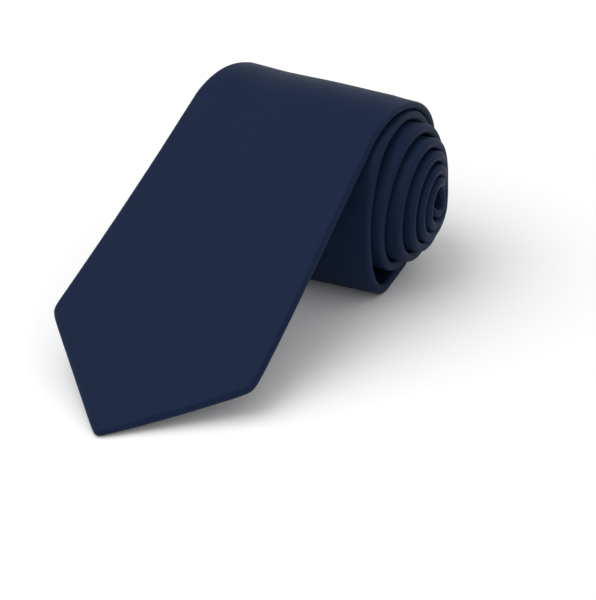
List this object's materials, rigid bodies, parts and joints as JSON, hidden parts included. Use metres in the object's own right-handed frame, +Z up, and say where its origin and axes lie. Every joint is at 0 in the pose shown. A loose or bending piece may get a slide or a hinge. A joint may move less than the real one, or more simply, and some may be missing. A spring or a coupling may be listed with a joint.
{
  "type": "necktie",
  "caption": "Dark satin necktie wound into a roll, its pointed front blade sloping down in front.",
  "frame": {"origin": "middle of the tie's bounding box, on the surface it lies on", "axes": "+Z up; X along the roll's axis, with the telescoped end of the roll to +X; the front blade's point reaches towards -Y"},
  "size_m": [0.1186, 0.1962, 0.0777],
  "materials": {
    "face_fabric": "smooth satin weave",
    "lining_fabric": "plain lining twill",
    "interlining_wool": "napped wool blend",
    "thread": "matt thread",
    "label_cloth": "plain woven tape"
  },
  "bodies": {
    "blade_end": {"blade_end_shell": "face_fabric", "blade_end_interlining": "interlining_wool", "blade_end_slip_stitch": "thread", "front_lining": "lining_fabric", "front_bar_tack": "thread"},
    "blade_upper": {"blade_upper_shell": "face_fabric", "blade_upper_interlining": "interlining_wool", "blade_upper_slip_stitch": "thread"},
    "top_turn": {"top_turn_shell": "face_fabric", "top_turn_interlining": "interlining_wool", "top_turn_slip_stitch": "thread", "keeper_loop": "face_fabric"},
    "back_turn": {"back_turn_shell": "face_fabric", "back_turn_interlining": "interlining_wool", "back_turn_slip_stitch": "thread", "care_label": "label_cloth"},
    "roll": {"wound_blade_shell": "face_fabric", "neck_shell": "face_fabric", "tail_shell": "face_fabric", "wound_interlining": "interlining_wool", "wound_slip_stitch": "thread", "tail_lining": "lining_fabric", "tail_bar_tack": "thread", "front_seam_thread": "thread", "tail_seam_thread": "thread"}
  },
  "joints": [
    {"name": "unroll", "type": "hinge", "parent": "roll", "child": "back_turn", "pos_m": [0.00685, 0.08449, 0.01085], "axis": [-0.9999, 0.0083, -0.0093], "range_deg": [0, 50]},
    {"name": "unroll_top", "type": "hinge", "parent": "back_turn", "child": "top_turn", "pos_m": [0.00568, 0.09389, 0.05316], "axis": [-0.9997, 0.0239, 0.0035], "range_deg": [0, 50]},
    {"name": "blade_lift", "type": "hinge", "parent": "top_turn", "child": "blade_upper", "pos_m": [-0.00006, 0.04216, 0.07543], "axis": [-0.9912, 0.1175, 0.0613], "range_deg": [0, 60]},
    {"name": "tip_lift", "type": "hinge", "parent": "blade_upper", "child": "blade_end", "pos_m": [-0.00741, -0.00663, 0.04684], "axis": [-0.9904, 0.0886, 0.1065], "range_deg": [0, 40]}
  ],
  "couplings": [
    {"joint": "unroll_top", "follows": "unroll", "ratio": 1}
  ]
}
